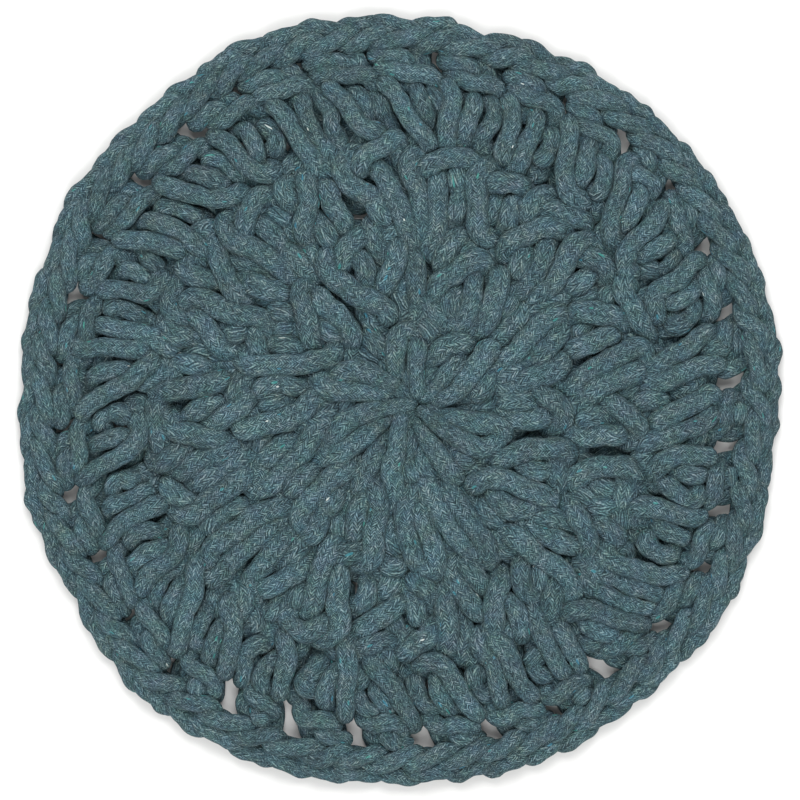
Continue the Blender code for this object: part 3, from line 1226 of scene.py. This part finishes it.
@dataclass(frozen=True)
class MattPaint:
    """Matt paint, rolled on the table top: pale and even, so that only the mat draws the eye."""

    name: str = "matt_white_painted_board"
    colour: str = "#CFCFCE"
    roughness: float = 0.85

    def build(self) -> bpy.types.Material:
        """Make the material.

        Returns:
            The material, with its nodes.
        """
        material = bpy.data.materials.new(self.name)
        material.use_nodes = True
        shader = material.node_tree.nodes["Principled BSDF"]
        shader.inputs["Base Color"].default_value = linear(self.colour)
        shader.inputs["Roughness"].default_value = self.roughness
        return material


# ---------------------------------------------------------------- the mat


@dataclass
class Mat:
    """The crocheted mat: one cord, skinned as one piece for each round and the edge."""

    form: MatForm = field(default_factory=MatForm)
    cord: Cord = field(default_factory=Cord)
    finish: HeatheredCotton = field(default_factory=HeatheredCotton)
    pieces: list[bpy.types.Object] = field(default_factory=list)
    length: float = 0.0  # metres of cord
    edge_draw: int = 5  # power of the radius by which the edge is drawn to its size
    edge_goes: int = 3  # times that it is drawn and measured again

    def build(self, box: tuple[Vector, Vector]) -> None:
        """Work the cord and skin it.

        Args:
            box: Lowest and highest corners of the space that the mat fills, in metres.
        """
        rng = np.random.default_rng(SEED)
        pattern = Pattern(self.form, self.cord)
        settling = Settling(self.form, self.cord)
        laid = settling.resample(pattern.lay(rng))
        steps = len(laid.points)
        LOG.info("laid %.1f m of cord in %d steps", steps * settling.step * MM, steps)
        run, radius, hidden = settling.settle(laid)
        skin = TubeSkin(self.cord)
        round_space = np.array([1.0, 1.0, 1 / self.cord.flatness])
        fine = skin.refine(np.column_stack([run.points * round_space, radius, hidden]))
        piece = np.repeat(run.piece, skin.finer)[:len(fine)]
        rings = skin.rings(fine[:, :3], fine[:, 3], fine[:, 4], rng) / round_space * MM
        rings = self._fitted(rings, box)
        lengths = np.linalg.norm(np.diff(fine[:, :3] / round_space, axis=0), axis=1) * MM
        along = np.concatenate([[0], np.cumsum(lengths)])
        self.length = float(along[-1])
        names = [r.name for r in pattern.rounds] + [pattern.edge_name]
        for number, name in enumerate(names):
            inside = np.nonzero(piece == number)[0]
            first, last = inside[0], min(inside[-1] + 1, len(fine) - 1)
            mesh = skin.mesh(name, rings[first:last + 1], along[first:last + 1])
            made = bpy.data.objects.new(f"mat_{name}", mesh)
            bpy.context.collection.objects.link(made)
            self.pieces.append(made)

    def _fitted(self, rings: Array, box: tuple[Vector, Vector]) -> Array:
        """Draw the edge in or out to the box, and set the mat down in its middle.

        Args:
            rings: Rings of points, in metres.
            box: Lowest and highest corners of the space that the mat fills.

        Returns:
            The rings in their place.
        """
        corners = np.array(box)
        for _ in range(self.edge_goes):
            low, high = rings.reshape(-1, 3).min(0), rings.reshape(-1, 3).max(0)
            rings = rings - np.append((low + high)[:2] / 2, low[2] - corners[0][2])
            over = (high - low)[:2] / (corners[1] - corners[0])[:2] - 1
            reach = np.hypot(rings[..., 0], rings[..., 1])[..., None] / (self.form.rim * MM)
            rings[..., :2] *= 1 - over * np.minimum(reach, 1.0) ** self.edge_draw
        return rings + np.append((corners[0] + corners[1])[:2] / 2, 0.0)

    def dress(self) -> None:
        """Give every piece the cotton and its body, and hide the model's own node."""
        cotton = self.finish.build()
        for piece in self.pieces:
            piece.data.materials.append(cotton)
            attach(piece, BODY)
            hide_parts(NODE)

    def report(self) -> None:
        """Log each piece and its triangles."""
        for piece in self.pieces:
            triangles = sum(len(p.vertices) - 2 for p in piece.data.polygons)
            LOG.info("%s: %d triangles", piece.name, triangles)
        LOG.info("cord after settling: %.1f m", self.length)


# ---------------------------------------------------------------- the studio


@dataclass
class Studio:
    """A pale table, soft light from above and a long lens that looks straight down."""

    floor_size: float = 3.0  # m
    view_width: float = 0.2113  # m that the view spans at the mat
    lens: float = 200.0  # mm
    sensor: float = 36.0  # mm
    room_light: float = 0.92  # strength of the even light from all around
    soft_box: float = 0.5  # m, side of each soft box
    key_watts: float = 7.3
    key_place: tuple[float, float, float] = (0.0, 0.47, 0.87)  # m
    fill_watts: float = 5.7
    fill_place: tuple[float, float, float] = (0.0, -0.42, 0.90)  # m
    paint: MattPaint = field(default_factory=MattPaint)

    def build(self, box: tuple[Vector, Vector]) -> None:
        """Make the floor, the lights and the camera around the mat.

        Args:
            box: Lowest and highest corners of the mat, in metres.
        """
        middle = (box[0] + box[1]) / 2
        self._floor(box[0].z)
        self._world()
        self._soft_box("key_light", Vector(self.key_place), self.key_watts, middle)
        self._soft_box("fill_light", Vector(self.fill_place), self.fill_watts, middle)
        self._camera(middle)

    def _floor(self, height: float) -> None:
        """Lay a plain square floor under the mat.

        Args:
            height: Height of the mat's underside, in metres.
        """
        half = self.floor_size / 2
        sides = (-half, -half), (half, -half), (half, half), (-half, half)
        corners = [(x, y, height) for x, y in sides]
        mesh = bpy.data.meshes.new("table_top")
        mesh.from_pydata(corners, [], [(0, 1, 2, 3)])
        mesh.materials.append(self.paint.build())
        floor = bpy.data.objects.new("table_top", mesh)
        bpy.context.collection.objects.link(floor)
        floor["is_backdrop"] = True

    def _world(self) -> None:
        """Surround everything with even white light."""
        world = bpy.data.worlds.new("white_room")
        world.use_nodes = True
        background = world.node_tree.nodes["Background"]
        background.inputs["Color"].default_value = linear("#FFFFFF")
        background.inputs["Strength"].default_value = self.room_light
        bpy.context.scene.world = world

    def _soft_box(self, name: str, place: Vector, watts: float, target: Vector) -> None:
        """Hang a square soft box that faces a point.

        Args:
            name: Name of the light.
            place: Where it hangs, in metres.
            watts: Its power.
            target: The point that it faces.
        """
        light = bpy.data.lights.new(name, "AREA")
        light.energy = watts
        light.size = self.soft_box
        lamp = bpy.data.objects.new(name, light)
        lamp.location = place
        lamp.rotation_euler = (target - place).to_track_quat("-Z", "Y").to_euler()
        bpy.context.collection.objects.link(lamp)

    def _camera(self, middle: Vector) -> None:
        """Put the camera straight above the mat.

        Args:
            middle: Middle of the mat, in metres.
        """
        data = bpy.data.cameras.new("camera")
        data.lens = self.lens
        data.sensor_width = self.sensor
        camera = bpy.data.objects.new("camera", data)
        camera.location = (middle.x, middle.y, middle.z + self.view_width / self.sensor * self.lens)
        bpy.context.collection.objects.link(camera)
        scene = bpy.context.scene
        scene.camera = camera
        scene.view_settings.view_transform = "Standard"


def main() -> None:
    """Build the mat and the studio, and report each."""
    logging.basicConfig(level=logging.INFO, format="%(name)s: %(message)s")
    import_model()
    cad_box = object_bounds()
    studio = Studio()
    studio.build(cad_box)
    LOG.info("studio: floor, two soft boxes and camera")
    mat = Mat()
    mat.build(cad_box)
    mat.dress()
    mat.report()


if __name__ == "__main__":
    main()
